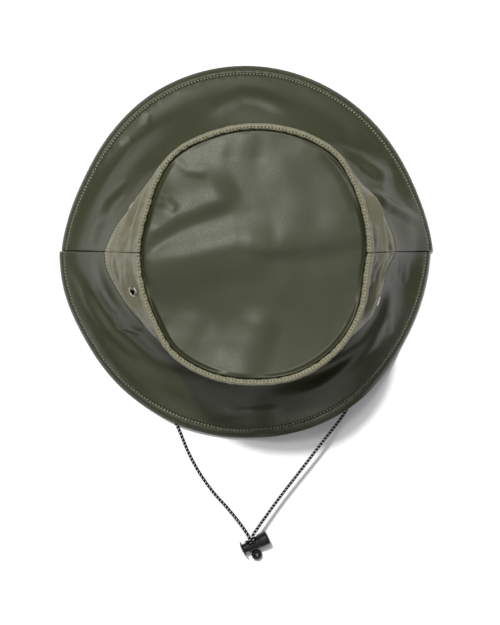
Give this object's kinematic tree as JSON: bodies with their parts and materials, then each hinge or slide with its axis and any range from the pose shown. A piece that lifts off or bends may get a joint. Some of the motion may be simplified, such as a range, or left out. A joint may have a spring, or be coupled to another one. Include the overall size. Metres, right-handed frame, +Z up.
{
  "type": "rain hat with chin cord",
  "caption": "Coated cloth rain hat with an oval flat crown, side band with eyelets, two-part sloping brim, elastic chin cord and a sprung cord lock.",
  "frame": {"origin": "on the surface that the hat rests on, under the middle of the brim's outline", "axes": "+Z up through the crown, -Y to the hat's front, where the chin cord lies, +X to its right side seam as seen from above with the front below"},
  "size_m": [0.2767, 0.3654, 0.1058],
  "materials": {
    "crown_cloth": "satin coated",
    "band_cloth": "satin coated",
    "brim_cloth": "satin coated",
    "tab_cloth": "woven",
    "eyelet_metal": "blackened nickel",
    "elastic_cord": "braided with pale flecks",
    "lock_plastic": "satin",
    "bead_plastic": "satin"
  },
  "bodies": {
    "hat": {"crown_top": "crown_cloth", "crown_band_back": "band_cloth", "crown_band_front": "band_cloth", "brim_back": "brim_cloth", "brim_front": "brim_cloth", "cord_tab_left": "tab_cloth", "cord_tab_right": "tab_cloth", "eyelet_left_back": "eyelet_metal", "eyelet_left_front": "eyelet_metal", "eyelet_right_front": "eyelet_metal", "eyelet_right_back": "eyelet_metal", "cord_left": "elastic_cord", "cord_tail_left": "elastic_cord", "cord_right": "elastic_cord", "cord_tail_right": "elastic_cord", "lock_barrel": "lock_plastic", "cord_end": "bead_plastic"},
    "plunger": {"lock_plunger": "lock_plastic"}
  },
  "joints": [
    {"name": "plunger_press", "type": "slide", "parent": "hat", "child": "plunger", "axis": [0.9018, 0.4321, 0], "range_m": [0, 0.0022], "stiffness_N_per_m": 800}
  ]
}
